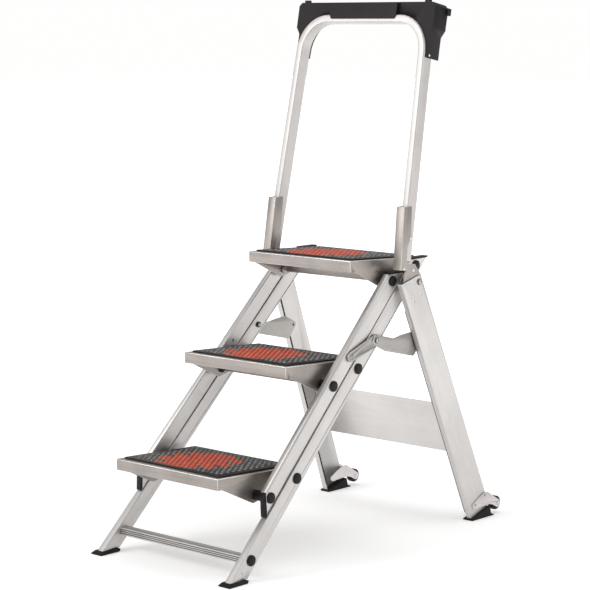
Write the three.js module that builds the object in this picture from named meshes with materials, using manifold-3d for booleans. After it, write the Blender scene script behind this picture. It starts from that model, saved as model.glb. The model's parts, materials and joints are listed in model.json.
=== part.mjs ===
// Folding three-tread aluminium step stool with a hand rail.
// Millimetres, +Z up, +X to the user's right, the user climbs towards +Y.
// Side outlines are drawn in the YZ plane with y = 0 at the front edge of the lowest tread,
// and the whole group is then slid along Y so that the origin is under the middle of the object.

import * as THREE from 'three';
import { mergeVertices } from 'three/addons/utils/BufferGeometryUtils.js';
import Module from 'manifold-3d';

const wasm = await Module();
wasm.setup();

// ---------------------------------------------------------------- driving dimensions

const STEPS = 3;
const RISE = 228.6;              // height from one tread to the next
const GOING = 230.5;             // how far each tread stands behind the one below
const FIRST_TREAD = 238.5;       // top of the lowest tread's metal

const FIT = 0.3;                 // gap between pieces that touch
const ROUND = 24;                // sides of a pin, a hole and a washer

// treads
const TREAD_WIDTH = 336;
const TREAD_DEPTH = 262;
const TREAD_FALL = 0.045;        // slope of the tread's top down to the rear
const SHEET = 2.5;               // thickness of the tread's sheet
const LIP_HEIGHT = 27.3;
const LIP_RETURN = 14;
const SIDE_LOW = 76;             // lowest point of a tread's side below its top
const REAR_WALL = 42;
const STIFFENER_AT = 146;        // cross stiffener, measured back from the front edge
const STIFFENER_DEPTH = 66;
const MAT_MARGIN_SIDE = 10;
const MAT_MARGIN_FRONT = 17;
const MAT_LENGTH = 238;
const MAT_THICKNESS = 3.2;

// rails: a short front rail and a long rear rail on each side, edge to edge
const RAIL_DEPTH = 40;           // in the side view
const RAIL_THICKNESS = 18;       // along X
const RAIL_WALL = 2;
const RAIL_GAP = 3;
const RAIL_SPREAD = 222.7;       // outer face from the middle, at the floor
const RAIL_LEAN = 0.042;         // how much the rails close in per unit of height
const REAR_RAIL_BOTTOM = 8;
const REAR_RAIL_TOP = 684;
const FRONT_RAIL_TOP = 655;
const FRONT_RAIL_CUT_Y = 112.8;  // the front rail's lower end is cut upright here

// pivots of a tread: the front one places the rails, and the rear one follows them
const FRONT_PIVOT = [125.4, -57.9];  // from the tread's front top edge
const REAR_PIVOT_DROP = 27.6;        // below the tread's front top edge
const FRONT_PIVOT_BEHIND = -21.622;  // square to the rails, from the middle of their gap
const REAR_PIVOT_BEHIND = 21.507;
const PIN_RADIUS = 5;
const CAP_RADIUS = 12;
const CAP_THICKNESS = 2.5;
const CAP_STAND = 0.9;           // room under a cap on the leaning rail
const NUT_RADIUS = 9;
const NUT_THICKNESS = 5;

// crossbar at the bottom of the rear rails
const CROSSBAR_Z = 48;
const CROSSBAR_HEIGHT = 18;
const CROSSBAR_DEPTH = 24;
const CROSSBAR_GROOVES = 3;
const CROSSBAR_GROOVE = 2.4;
const CROSSBAR_BORE = 4;
const CROSSBAR_BOLT_REACH = 30;

// front feet
const FRONT_FOOT_WIDTH = 36;
const FRONT_FOOT_NOSE = -29;
const FRONT_FOOT_HEEL = 31;
const SOLE = 7.7;
const PLUG_DEPTH = 14;
const PLUG_SHORT = 5;            // the lowest front pin is close to the rail's end
const CAP_PLATE = 4.4;
const CAP_OVERHANG = 1;

// rear legs: an angle section that leans back, web outside, flange in front
const LEG_STAND = 30.3;          // web's outer face beyond the rail's outer face, at the floor
const LEG_LEAN_IN = 0.05;
const LEG_FRONT_BEHIND = 179.5;  // front face at the floor, behind the main hinge
const LEG_SLOPE = 0.394;
const LEG_DEPTH = 79;
const LEG_FLANGE = 15;
const LEG_SHEET = 2.5;
const LEG_TOP_FRONT_Z = 630;
const LEG_TOP_RISE = 0.26;       // slope of the leg's top edge
const TRIM_REACH = 9;
const TRIM_THICKNESS = 1.5;
const TRIM_BOTTOM = 20;
const TRIM_TOP = 560;
const PANEL_BOTTOM = 165;
const PANEL_TOP = 301;
const PANEL_SHEET = 2.5;
const PANEL_TAB = 22;

// main hinge of the legs and the hand rail on the rear rails: legs, feet, brackets and the
// braces' arms keep their places behind it or in front of it
const HINGE_HEIGHT = 631;
const HINGE_BEHIND = 35.03;      // square to the rails, from the middle of their gap
const HINGE_BOLT_RADIUS = 6;
const HINGE_HEAD_RADIUS = 10;
const HINGE_SPACER_RADIUS = 14;
const LOBE_THICKNESS = 3.2;
const LOBE_RADIUS = 56;

// braces: a lever on each side, pinned to both rails, whose arm slides along the leg's flange
const BRACE_HEIGHT = 501.67;     // height of the pivot on the rear rail
const BRACE_SHEET = 3;
const BRACE_STAND = 2.9;         // washer between the rail and the lever
const BRACE_JOGGLE = 2.3;        // the arm stands further out than the lever's head
const BRACE_BOLT_RADIUS = 4;
const BRACE_HEAD_RADIUS = 7.5;
const BRACE_WASHER_RADIUS = 13;
const GLIDE_AT = [10, 481];      // behind the main hinge, and above the floor
const GLIDE_RADIUS = 7;
const GLIDE_REACH = 9;

// rear feet and wheels
const FOOT_TOE_BEHIND = 174;     // these places are behind the main hinge
const FOOT_HEEL_BEHIND = 265;
const FOOT_BACK_AT = [249, 27];
const REAR_FOOT_TOE_HEIGHT = 4;
const REAR_FOOT_OUT = 6.5;
const REAR_FOOT_WIDTH = 30.5;
const WHEEL_AT = [288, 27];
const WHEEL_RADIUS = 18;
const AXLE_RADIUS = 4;
const FORK_SHEET = 2;
const FORK_WIDTH = 20;           // from the web's outer face to the inner cheek
const FORK_NOSE = 10.5;

// hand rail: an inverted U of rectangular tube on two brackets
const HANDLE_LEAN = Math.atan(0.1967);
const HANDLE_BASE_AT = [-76.8, 667];   // behind the main hinge, and above the floor
const TUBE_WIDTH = 19.5;
const TUBE_DEPTH = 33.5;
const TUBE_WALL = 1.7;
const POST_STAND = 5.5;          // post's outer face at its base, beyond the rail's at the floor
const POST_LEAN_IN = 0.0335;
const POST_BOTTOM = 22.5;        // along the post, from its base
const HOOP_TOP = 629;
const HOOP_RADIUS = 92;          // outer radius of the two bends
const BRACKET_SHEET = 2;
const BRACKET_WIDTH = 24.5;
const BRACKET_TOP = 820;
const BRACKET_BOTTOM = 667;
const BRACKET_FRONT_AT = -83.4;  // front face at its lower end, behind the main hinge
const BRACKET_FRONT_SLOPE = 0.129;
const BRACKET_SIDE_TOP = 29;
const BRACKET_SIDE_LOW = 22;
const BRACKET_SIDE_STEP = [745, 722];

// moulded tray on top of the hand rail
const TRAY_TOP = 661;            // along the post, from its base
const TRAY_INSET = 4.2;          // each end inside the posts' outer faces at their base
const TRAY_FRONT = 6;            // across the tube, from its front face
const TRAY_BACK = 57;
const TRAY_CHAMFER = 9;
const TRAY_SKIN = 2.6;           // on the outside of the tube, at the tips
const TRAY_TIP = 524;
const TRAY_NECK = 580;
const TRAY_SHOULDER = 598;
const TRAY_POCKET_DEPTH = 20;
const TRAY_WALL = 5;
const SKIRT_FRONT = -3;          // the skirt hangs in front of the tube between the bends
const SKIRT_EDGE = 618;
const SKIRT_INSET = 9;
const TAB_REACH = 10;
const TAB_HEIGHT = 17;
const TAB_DEPTH = 13;
const LUG_INSET = 18;
const LUG_WIDTH = 17;
const LUG_HEIGHT = 6;
const LUG_DEPTH = 6;

// ---------------------------------------------------------------- finishes

const metal = (color, roughness) => new THREE.MeshStandardMaterial({ color, roughness, metalness: 0.9 });
const plastic = (color, roughness) => new THREE.MeshStandardMaterial({ color, roughness, metalness: 0 });
const ALUMINIUM = metal(0xd6d3d0, 0.38);
const BRUSHED = metal(0xa79d97, 0.42);
const STEEL = metal(0xbdbab6, 0.3);
const BLACK = plastic(0x1c191a, 0.55);
const RUBBER = plastic(0x242122, 0.85);

// ---------------------------------------------------------------- solids

/** A closed solid of a geometry whose surface is closed. */
function solid(geometry) {
  const bare = geometry.clone();
  bare.deleteAttribute('normal');
  bare.deleteAttribute('uv');
  const merged = mergeVertices(bare, 1e-4);
  return new wasm.Manifold(new wasm.Mesh({
    numProp: 3,
    vertProperties: new Float32Array(merged.attributes.position.array),
    triVerts: new Uint32Array(merged.index.array),
  }));
}

function union(...solids) {
  return solids.reduce((whole, piece) => whole.add(piece));
}

function cut(body, ...tools) {
  return tools.reduce((rest, tool) => rest.subtract(tool), body);
}

/** The geometry of a solid, mirrored to the other side where side is -1. */
function geometryOf(body, side = 1) {
  const { vertProperties, triVerts } = body.getMesh();
  const geometry = new THREE.BufferGeometry();
  const positions = Float32Array.from(vertProperties);
  const index = Array.from(triVerts);
  if (side < 0) {
    for (let i = 0; i < positions.length; i += 3) positions[i] = -positions[i];
    for (let i = 0; i < index.length; i += 3) [index[i + 1], index[i + 2]] = [index[i + 2], index[i + 1]];
  }
  geometry.setAttribute('position', new THREE.BufferAttribute(positions, 3));
  geometry.setIndex(index);
  geometry.computeVertexNormals();
  return geometry;
}

const YZ_TO_SPACE = new THREE.Matrix4().set(0, 0, 1, 0, 1, 0, 0, 0, 0, 1, 0, 0, 0, 0, 0, 1);
const XZ_TO_SPACE = new THREE.Matrix4().set(1, 0, 0, 0, 0, 0, -1, 0, 0, 1, 0, 0, 0, 0, 0, 1);

function shapeOf(points) {
  return new THREE.Shape(points.map(([a, b]) => new THREE.Vector2(a, b)));
}

/** A plate with a side outline of [y, z] points, from x0 to x1. */
function sidePlate(points, x0, x1) {
  const geometry = new THREE.ExtrudeGeometry(shapeOf(points), { depth: x1 - x0, bevelEnabled: false });
  return geometry.applyMatrix4(YZ_TO_SPACE).translate(x0, 0, 0);
}

/** A plate with a front outline of [x, z] points, from y0 back to y1. */
function frontPlate(points, y0, y1) {
  const geometry = new THREE.ExtrudeGeometry(shapeOf(points), { depth: y1 - y0, bevelEnabled: false });
  return geometry.applyMatrix4(XZ_TO_SPACE).translate(0, y1, 0);
}

function box(x0, x1, y0, y1, z0, z1) {
  const geometry = new THREE.BoxGeometry(x1 - x0, y1 - y0, z1 - z0);
  return geometry.translate((x0 + x1) / 2, (y0 + y1) / 2, (z0 + z1) / 2);
}

/** A round bar along X. */
function bar([y, z], radius, x0, x1) {
  const geometry = new THREE.CylinderGeometry(radius, radius, x1 - x0, ROUND);
  return geometry.rotateZ(Math.PI / 2).translate((x0 + x1) / 2, y, z);
}

/** A turned piece along X from a list of [x, radius] steps that starts and ends on the axis. */
function turned([y, z], steps) {
  const profile = steps.map(([x, r]) => new THREE.Vector2(r, x));
  return new THREE.LatheGeometry(profile, ROUND).rotateZ(-Math.PI / 2).translate(0, y, z);
}

/** Slides each point of a geometry along X in proportion to its height. */
function leaning(geometry, lean, fromZ = 0) {
  const position = geometry.attributes.position;
  for (let i = 0; i < position.count; i += 1) {
    position.setX(i, position.getX(i) - lean * (position.getZ(i) - fromZ));
  }
  return geometry;
}

/** Points of an arc about a centre, from one angle to another in degrees. */
function arc([y, z], radius, from, to, count = 8) {
  return Array.from({ length: count + 1 }, (_, i) => {
    const angle = THREE.MathUtils.degToRad(from + ((to - from) * i) / count);
    return [y + radius * Math.cos(angle), z + radius * Math.sin(angle)];
  });
}

// ---------------------------------------------------------------- the assembly

const stool = new THREE.Group();
const SIDES = [['right', 1], ['left', -1]];

function place(name, body, material, side = 1) {
  const mesh = new THREE.Mesh(geometryOf(body, side), material);
  mesh.name = name;
  stool.add(mesh);
}

/** Adds a mirrored pair of the same piece. */
function placePair(name, body, material) {
  for (const [word, side] of SIDES) place(`${name}_${word}`, body, material, side);
}

// ---------------------------------------------------------------- rails: places and outlines

const RAIL_ANGLE = Math.atan2(RISE, GOING);
const RAIL_PITCH = Math.hypot(RISE, GOING);
const [RAIL_COS, RAIL_SIN] = [Math.cos(RAIL_ANGLE), Math.sin(RAIL_ANGLE)];

const FRONT_PIVOT_HEIGHT = FIRST_TREAD + FRONT_PIVOT[1];
/** Where the gap between the rails would meet the floor. */
const RAIL_FOOT_Y = FRONT_PIVOT[0] - (FRONT_PIVOT_HEIGHT * RAIL_COS + FRONT_PIVOT_BEHIND) / RAIL_SIN;

/** A point in the side view, so far along the rails and so far behind the gap between them. */
const onRail = (along, behind) => [
  RAIL_FOOT_Y + along * RAIL_COS + behind * RAIL_SIN,
  along * RAIL_SIN - behind * RAIL_COS,
];
const onRailAtZ = (behind, z) => onRail((z + behind * RAIL_COS) / RAIL_SIN, behind);
const onRailAtY = (behind, y) => onRail((y - RAIL_FOOT_Y - behind * RAIL_SIN) / RAIL_COS, behind);
const railOuter = (z) => RAIL_SPREAD - RAIL_LEAN * z;
const railInner = (z) => railOuter(z) - RAIL_THICKNESS;

const REAR_RAIL = [RAIL_GAP / 2, RAIL_GAP / 2 + RAIL_DEPTH];
const FRONT_RAIL = [-RAIL_GAP / 2 - RAIL_DEPTH, -RAIL_GAP / 2];
const REAR_PIVOT = [onRailAtZ(REAR_PIVOT_BEHIND, FIRST_TREAD - REAR_PIVOT_DROP)[0], -REAR_PIVOT_DROP];
const treadTop = (step) => [GOING * step, FIRST_TREAD + RISE * step];
const pivotOf = (step, [y, z]) => [treadTop(step)[0] + y, treadTop(step)[1] + z];
const FRONT_PIVOTS = [0, 1, 2].map((step) => pivotOf(step, FRONT_PIVOT));
const REAR_PIVOTS = [0, 1, 2].map((step) => pivotOf(step, REAR_PIVOT));
const PIVOT_ARM = [REAR_PIVOT[0] - FRONT_PIVOT[0], REAR_PIVOT[1] - FRONT_PIVOT[1]];

const HINGE = onRailAtZ(HINGE_BEHIND, HINGE_HEIGHT);
const fromHinge = ([y, z]) => [HINGE[0] + y, z];
const BRACE_PIVOT = onRailAtZ(RAIL_GAP / 2 + RAIL_DEPTH / 2, BRACE_HEIGHT);
const BRACE_DRIVE = [BRACE_PIVOT[0] - PIVOT_ARM[0], BRACE_PIVOT[1] - PIVOT_ARM[1]];
const CROSSBAR_AT = onRailAtZ(RAIL_GAP / 2 + RAIL_DEPTH / 2, CROSSBAR_Z);

/** A tube between two rail edges, cut at both ends by the lines that its ends functions give. */
function railTube([near, far], lower, upper, holes) {
  const outline = (a, b, reach) => [
    lower(a, -reach), lower(b, -reach), upper(b, reach), upper(a, reach),
  ];
  const shell = sidePlate(outline(near, far, 0), -RAIL_THICKNESS, 0);
  const core = sidePlate(outline(near + RAIL_WALL, far - RAIL_WALL, 5), -RAIL_THICKNESS + RAIL_WALL, -RAIL_WALL);
  const toRail = (geometry) => leaning(geometry.translate(RAIL_SPREAD, 0, 0), RAIL_LEAN);
  const bores = holes.map(([at, radius]) => solid(bar(at, radius + FIT, 0, 2 * RAIL_SPREAD)));
  return cut(solid(toRail(shell)), solid(toRail(core)), ...bores);
}

/** A cap over a rail's cut end with a plug inside the tube. */
function railCap([near, far], line, coverFrom, coverTo, plugTo, overhang = CAP_OVERHANG) {
  const band = (a, b, from, to) => [line(a, from), line(b, from), line(b, to), line(a, to)];
  const inside = RAIL_WALL + FIT;
  const cover = sidePlate(
    band(near - overhang, far + overhang, coverFrom, coverTo),
    -RAIL_THICKNESS - overhang, overhang,
  );
  const plug = sidePlate(
    band(near + inside, far - inside, coverFrom, plugTo),
    -RAIL_THICKNESS + inside, -inside,
  );
  const toRail = (geometry) => solid(leaning(geometry.translate(RAIL_SPREAD, 0, 0), RAIL_LEAN));
  return union(toRail(cover), toRail(plug));
}

// ---------------------------------------------------------------- rear rails, their caps and feet

const rearRail = railTube(
  REAR_RAIL,
  (n, reach) => onRailAtZ(n, REAR_RAIL_BOTTOM + reach),
  (n, reach) => onRailAtZ(n, REAR_RAIL_TOP + reach),
  [
    ...REAR_PIVOTS.map((at) => [at, PIN_RADIUS]),
    [BRACE_PIVOT, BRACE_BOLT_RADIUS],
    [HINGE, HINGE_BOLT_RADIUS],
    [CROSSBAR_AT, CROSSBAR_BORE],
  ],
);
placePair('rear_rail', rearRail, ALUMINIUM);
placePair('rear_rail_cap', railCap(
  REAR_RAIL, onRailAtZ, REAR_RAIL_TOP + FIT, REAR_RAIL_TOP + FIT + CAP_PLATE, REAR_RAIL_TOP - PLUG_DEPTH / 2,
), BLACK);

function frontFoot() {
  const centre = RAIL_SPREAD - RAIL_THICKNESS / 2;
  const half = FRONT_FOOT_WIDTH / 2;
  const profile = [
    [FRONT_FOOT_NOSE, 0],
    [FRONT_FOOT_HEEL, 0],
    [FRONT_FOOT_HEEL + 4, SOLE],
    [FRONT_FOOT_NOSE + 12, SOLE],
    [FRONT_FOOT_NOSE, 3.5],
  ];
  const sole = solid(sidePlate(profile, centre - half, centre + half));
  const inside = RAIL_WALL + FIT;
  const [near, far] = [REAR_RAIL[0] + inside, REAR_RAIL[1] - inside];
  const [low, high] = [SOLE - 1, REAR_RAIL_BOTTOM + PLUG_DEPTH];
  const plug = sidePlate(
    [onRailAtZ(near, low), onRailAtZ(far, low), onRailAtZ(far, high), onRailAtZ(near, high)],
    RAIL_SPREAD - RAIL_THICKNESS + inside, RAIL_SPREAD - inside,
  );
  return union(sole, solid(leaning(plug, RAIL_LEAN)));
}
placePair('front_foot', frontFoot(), RUBBER);

// ---------------------------------------------------------------- bottom crossbar

function crossbar() {
  const [y, z] = CROSSBAR_AT;
  const half = CROSSBAR_HEIGHT / 2;
  const depth = CROSSBAR_DEPTH / 2;
  const end = railInner(z + half) - FIT;
  const beam = solid(box(-end, end, y - depth, y + depth, z - half, z + half));
  const pitch = CROSSBAR_HEIGHT / (CROSSBAR_GROOVES + 1);
  const grooves = Array.from({ length: CROSSBAR_GROOVES }, (_, i) => {
    const level = z - half + pitch * (i + 1);
    const open = CROSSBAR_GROOVE / 2;
    return solid(box(-end - 1, end + 1, y - depth - 1, y - depth + 1, level - open, level + open));
  });
  const reach = end - CROSSBAR_BOLT_REACH;
  const bores = SIDES.map(([, side]) => {
    const [from, to] = side > 0 ? [reach, end + 1] : [-end - 1, -reach];
    return solid(bar(CROSSBAR_AT, CROSSBAR_BORE + FIT, from, to));
  });
  return cut(beam, ...grooves, ...bores);
}
place('bottom_crossbar', crossbar(), ALUMINIUM);

const crossbarBolt = turned(CROSSBAR_AT, [
  [railInner(CROSSBAR_Z) - CROSSBAR_BOLT_REACH + 4, 0],
  [railInner(CROSSBAR_Z) - CROSSBAR_BOLT_REACH + 4, CROSSBAR_BORE],
  [railOuter(CROSSBAR_Z) + CAP_STAND, CROSSBAR_BORE],
  [railOuter(CROSSBAR_Z) + CAP_STAND, CAP_RADIUS],
  [railOuter(CROSSBAR_Z) + CAP_STAND + CAP_THICKNESS, CAP_RADIUS - 1],
  [railOuter(CROSSBAR_Z) + CAP_STAND + CAP_THICKNESS, 0],
]);
placePair('crossbar_bolt', solid(crossbarBolt), BLACK);

// ---------------------------------------------------------------- front rails

const frontRail = railTube(
  FRONT_RAIL,
  (n, reach) => onRailAtY(n, FRONT_RAIL_CUT_Y + reach),
  (n, reach) => onRailAtZ(n, FRONT_RAIL_TOP + reach),
  [
    ...FRONT_PIVOTS.map((at) => [at, PIN_RADIUS]),
    [BRACE_DRIVE, BRACE_BOLT_RADIUS],
  ],
);
placePair('front_rail', frontRail, ALUMINIUM);
placePair('front_rail_top_cap', railCap(
  FRONT_RAIL, onRailAtZ, FRONT_RAIL_TOP + FIT, FRONT_RAIL_TOP + FIT + CAP_PLATE, FRONT_RAIL_TOP - PLUG_DEPTH / 2,
), BLACK);
placePair('front_rail_bottom_cap', railCap(
  FRONT_RAIL, onRailAtY, FRONT_RAIL_CUT_Y - FIT, FRONT_RAIL_CUT_Y - FIT - CAP_PLATE, FRONT_RAIL_CUT_Y + PLUG_SHORT,
  -RAIL_WALL / 2,
), BLACK);

// ---------------------------------------------------------------- treads, mats and their pins

function treadPan(step) {
  const [y, z] = treadTop(step);
  const half = TREAD_WIDTH / 2;
  const back = y + TREAD_DEPTH;
  const stiffener = y + STIFFENER_AT;
  const top = (at) => z - TREAD_FALL * (at - y);
  const sheet = [[y, z], [back, top(back)], [back, top(back) - SHEET], [y, z - SHEET]];
  const inside = (at) => top(at) - SHEET / 2;
  const pieces = [
    sidePlate(sheet, -half, half),
    box(-half, half, y, y + SHEET, z - LIP_HEIGHT, inside(y + SHEET)),
    box(-half, half, y, y + LIP_RETURN, z - LIP_HEIGHT, z - LIP_HEIGHT + SHEET),
    box(-half, half, back - SHEET, back, z - REAR_WALL, inside(back)),
    box(-half, half, stiffener - SHEET, stiffener, z - STIFFENER_DEPTH, inside(stiffener)),
    box(-half, half, stiffener - SHEET, stiffener + LIP_RETURN, z - STIFFENER_DEPTH, z - STIFFENER_DEPTH + SHEET),
  ].map(solid);
  const outline = [
    [0, 0],
    [0, -LIP_HEIGHT],
    [LIP_RETURN, -LIP_HEIGHT],
    ...arc([FRONT_PIVOT[0] - 6, FRONT_PIVOT[1]], SIDE_LOW + FRONT_PIVOT[1], 240, 290, 6),
    [TREAD_DEPTH - 28, -REAR_WALL - 8],
    [TREAD_DEPTH, -REAR_WALL],
    [TREAD_DEPTH, -TREAD_FALL * TREAD_DEPTH],
  ].map(([a, b]) => [y + a, z + b]);
  const sides = SIDES.map(([, side]) => {
    const [from, to] = side > 0 ? [half - SHEET, half] : [-half, -half + SHEET];
    return solid(sidePlate(outline, from, to));
  });
  const bores = [FRONT_PIVOT, REAR_PIVOT].map((pivot) => (
    solid(bar(pivotOf(step, pivot), PIN_RADIUS + FIT, -half - 1, half + 1))
  ));
  const bare = union(...pieces, ...sides);
  const [nearBore, rearBore] = bores;
  const middle = solid(box(-half + SHEET + 1, half - SHEET - 1, y, back, z - SIDE_LOW - 1, z));
  return cut(bare, nearBore.subtract(middle), rearBore.subtract(middle));
}

function treadMat(step) {
  const [y, z] = treadTop(step);
  const half = TREAD_WIDTH / 2 - MAT_MARGIN_SIDE;
  const [front, back] = [y + MAT_MARGIN_FRONT, y + MAT_MARGIN_FRONT + MAT_LENGTH];
  const level = (at, above) => [at, z + FIT + above - TREAD_FALL * (at - y)];
  const profile = [
    level(front, 0),
    level(back, 0),
    level(back, MAT_THICKNESS - 1),
    level(back - 1, MAT_THICKNESS),
    level(front + 1, MAT_THICKNESS),
    level(front, MAT_THICKNESS - 1),
  ];
  return solid(sidePlate(profile, -half, half));
}

/** A pin through a rail and a tread's side: cap, shank, spacer between the two, shank and nut. */
function pivotPin([y, z]) {
  const half = TREAD_WIDTH / 2;
  const inner = half - SHEET;
  const outer = railOuter(z);
  return solid(turned([y, z], [
    [inner - FIT - NUT_THICKNESS, 0],
    [inner - FIT - NUT_THICKNESS, NUT_RADIUS],
    [inner - FIT, NUT_RADIUS],
    [inner - FIT, PIN_RADIUS],
    [half + FIT, PIN_RADIUS],
    [half + FIT, CAP_RADIUS],
    [railInner(z) - CAP_STAND, CAP_RADIUS],
    [railInner(z) - CAP_STAND, PIN_RADIUS],
    [outer + CAP_STAND, PIN_RADIUS],
    [outer + CAP_STAND, CAP_RADIUS],
    [outer + CAP_STAND + CAP_THICKNESS, CAP_RADIUS - 1],
    [outer + CAP_STAND + CAP_THICKNESS, 0],
  ]));
}

for (let step = 0; step < STEPS; step += 1) {
  place(`step_${step + 1}_tread`, treadPan(step), BRUSHED);
  place(`step_${step + 1}_mat`, treadMat(step), RUBBER);
  placePair(`step_${step + 1}_front_pin`, pivotPin(FRONT_PIVOTS[step]), BLACK);
  placePair(`step_${step + 1}_rear_pin`, pivotPin(REAR_PIVOTS[step]), BLACK);
}

// ---------------------------------------------------------------- rear legs

const LEG_TILT = Math.atan(LEG_SLOPE);
const LEG_FRONT_Y = HINGE[0] + LEG_FRONT_BEHIND;
const LEG_TOP_SPREAD = RAIL_SPREAD + LEG_STAND;
const REAR_FOOT_TOE = HINGE[0] + FOOT_TOE_BEHIND;
const REAR_FOOT_HEEL = HINGE[0] + FOOT_HEEL_BEHIND;
const REAR_FOOT_BACK = fromHinge(FOOT_BACK_AT);
const WHEEL_CENTRE = fromHinge(WHEEL_AT);
const legOuter = (z) => LEG_TOP_SPREAD - LEG_LEAN_IN * z;
/** A point in the side view at a height, so far behind the leg's front face, square to it. */
const onLegAtZ = (behind, z) => [LEG_FRONT_Y - LEG_SLOPE * z + behind / Math.cos(LEG_TILT), z];
/** The same, but where the leg crosses a line through a point with a slope. */
function onLegAtLine(behind, [y0, z0], slope) {
  const base = LEG_FRONT_Y + behind / Math.cos(LEG_TILT);
  const z = (z0 + slope * (base - y0)) / (1 + slope * LEG_SLOPE);
  return [base - LEG_SLOPE * z, z];
}
const FOOT_SLOPE = (REAR_FOOT_BACK[1] - REAR_FOOT_TOE_HEIGHT) / (REAR_FOOT_BACK[0] - REAR_FOOT_TOE);
const legBottom = (behind, rise = 0) => (
  onLegAtLine(behind, [REAR_FOOT_TOE, REAR_FOOT_TOE_HEIGHT + FIT + rise], FOOT_SLOPE)
);
const LEG_TOP_CORNER = onLegAtZ(0, LEG_TOP_FRONT_Z);
const legTop = (behind) => onLegAtLine(behind, LEG_TOP_CORNER, LEG_TOP_RISE);
const leaningLeg = (geometry) => solid(leaning(geometry.translate(LEG_TOP_SPREAD, 0, 0), LEG_LEAN_IN));
const strip = (from, to, lower, upper, x0, x1) => (
  leaningLeg(sidePlate([lower(from), lower(to), upper(to), upper(from)], x0, x1))
);

function rearLeg() {
  const rearCorner = legTop(LEG_DEPTH);
  const webOutline = [
    legBottom(0), legBottom(LEG_DEPTH), [rearCorner[0] + 2, rearCorner[1] - 8],
    [rearCorner[0] - 6, rearCorner[1] - 1.6], legTop(0),
  ];
  const web = leaningLeg(sidePlate(webOutline, -LEG_SHEET, 0));
  const flange = strip(0, LEG_SHEET, legBottom, legTop, -LEG_FLANGE, 0);
  const bore = solid(bar(HINGE, HINGE_BOLT_RADIUS + FIT, 0, LEG_TOP_SPREAD));
  return cut(union(web, flange), bore);
}
placePair('rear_leg', rearLeg(), ALUMINIUM);

function legTrim() {
  const edge = -LEG_FLANGE;
  const cover = LEG_SHEET + FIT;
  const low = (n) => onLegAtZ(n, TRIM_BOTTOM);
  const high = (n) => onLegAtZ(n, TRIM_TOP);
  return union(
    strip(cover, cover + TRIM_THICKNESS, low, high, edge - TRIM_THICKNESS, edge + TRIM_REACH),
    strip(-FIT, cover + TRIM_THICKNESS, low, high, edge - TRIM_THICKNESS, edge - FIT),
  );
}
placePair('leg_edge_trim', legTrim(), BLACK);

function crossPanel() {
  const gap = LEG_SHEET + FIT;
  const [rear, front] = [LEG_DEPTH - 1, LEG_DEPTH - 1 - PANEL_SHEET];
  const corner = (side, z) => [side * (legOuter(z) - gap), z];
  const sheet = frontPlate(
    [corner(-1, PANEL_BOTTOM), corner(1, PANEL_BOTTOM), corner(1, PANEL_TOP), corner(-1, PANEL_TOP)],
    0, PANEL_SHEET / Math.cos(LEG_TILT),
  );
  const position = sheet.attributes.position;
  const start = LEG_FRONT_Y + front / Math.cos(LEG_TILT);
  for (let i = 0; i < position.count; i += 1) {
    position.setY(i, position.getY(i) + start - LEG_SLOPE * position.getZ(i));
  }
  const low = (n) => onLegAtZ(n, PANEL_BOTTOM + 6);
  const high = (n) => onLegAtZ(n, PANEL_TOP - 6);
  const tab = strip(rear - PANEL_TAB, rear, low, high, -gap - PANEL_SHEET, -gap);
  return union(solid(sheet), tab, solid(geometryOf(tab, -1)));
}
place('rear_cross_panel', crossPanel(), ALUMINIUM);

function rearFoot() {
  const outline = [
    [REAR_FOOT_TOE, 0],
    [REAR_FOOT_HEEL, 0],
    [REAR_FOOT_HEEL, 3],
    [REAR_FOOT_BACK[0] + 5, 7],
    REAR_FOOT_BACK,
    [REAR_FOOT_TOE, REAR_FOOT_TOE_HEIGHT],
  ];
  const outer = LEG_TOP_SPREAD + REAR_FOOT_OUT;
  return solid(sidePlate(outline, outer - REAR_FOOT_WIDTH, outer));
}
placePair('rear_foot', rearFoot(), RUBBER);

// ---------------------------------------------------------------- wheels and their forks

function wheelFork() {
  const outline = [
    fromHinge([182, 40]),
    fromHinge([183, 32]),
    fromHinge([190, 27]),
    fromHinge([248, 31.5]),
    fromHinge([266, 27]),
    ...arc(WHEEL_CENTRE, FORK_NOSE, 250, 430, 8),
    fromHinge([248, 63]),
    fromHinge([232, 64]),
    fromHinge([208, 54]),
  ];
  const cheek = (x0, x1) => leaningLeg(sidePlate(outline, x0, x1));
  const outer = cheek(FIT, FIT + FORK_SHEET);
  const inner = cheek(-FORK_WIDTH - FORK_SHEET, -FORK_WIDTH);
  const behind = onLegAtZ(LEG_DEPTH, 45)[0] + 4;
  const bridge = leaningLeg(sidePlate(
    [[behind, 36], [behind + 3, 36], [behind + 3, 52], [behind, 56]], -FORK_WIDTH - 1, FIT + 1,
  ));
  const [, axleZ] = WHEEL_CENTRE;
  const axle = solid(bar(
    WHEEL_CENTRE, AXLE_RADIUS, legOuter(axleZ) - FORK_WIDTH - FORK_SHEET - 1.5, legOuter(axleZ) + FIT + FORK_SHEET + 1.5,
  ));
  return union(outer, inner, bridge, axle);
}
placePair('wheel_fork', wheelFork(), STEEL);

function wheel() {
  const [, axleZ] = WHEEL_CENTRE;
  const lean = LEG_LEAN_IN * WHEEL_RADIUS + 0.5;
  const outer = legOuter(axleZ) - lean;
  const inner = legOuter(axleZ) - FORK_WIDTH + lean;
  return solid(turned(WHEEL_CENTRE, [
    [inner, AXLE_RADIUS + FIT],
    [inner, WHEEL_RADIUS - 2],
    [inner + 2, WHEEL_RADIUS],
    [outer - 2, WHEEL_RADIUS],
    [outer, WHEEL_RADIUS - 2],
    [outer, AXLE_RADIUS + FIT],
    [inner, AXLE_RADIUS + FIT],
  ]));
}
placePair('wheel', wheel(), BLACK);

// ---------------------------------------------------------------- braces

const GLIDE = fromHinge(GLIDE_AT);
const BRACE_HEAD_IN = railOuter(BRACE_DRIVE[1]) + BRACE_STAND;
const BRACE_ARM_IN = BRACE_HEAD_IN + BRACE_JOGGLE;

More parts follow.
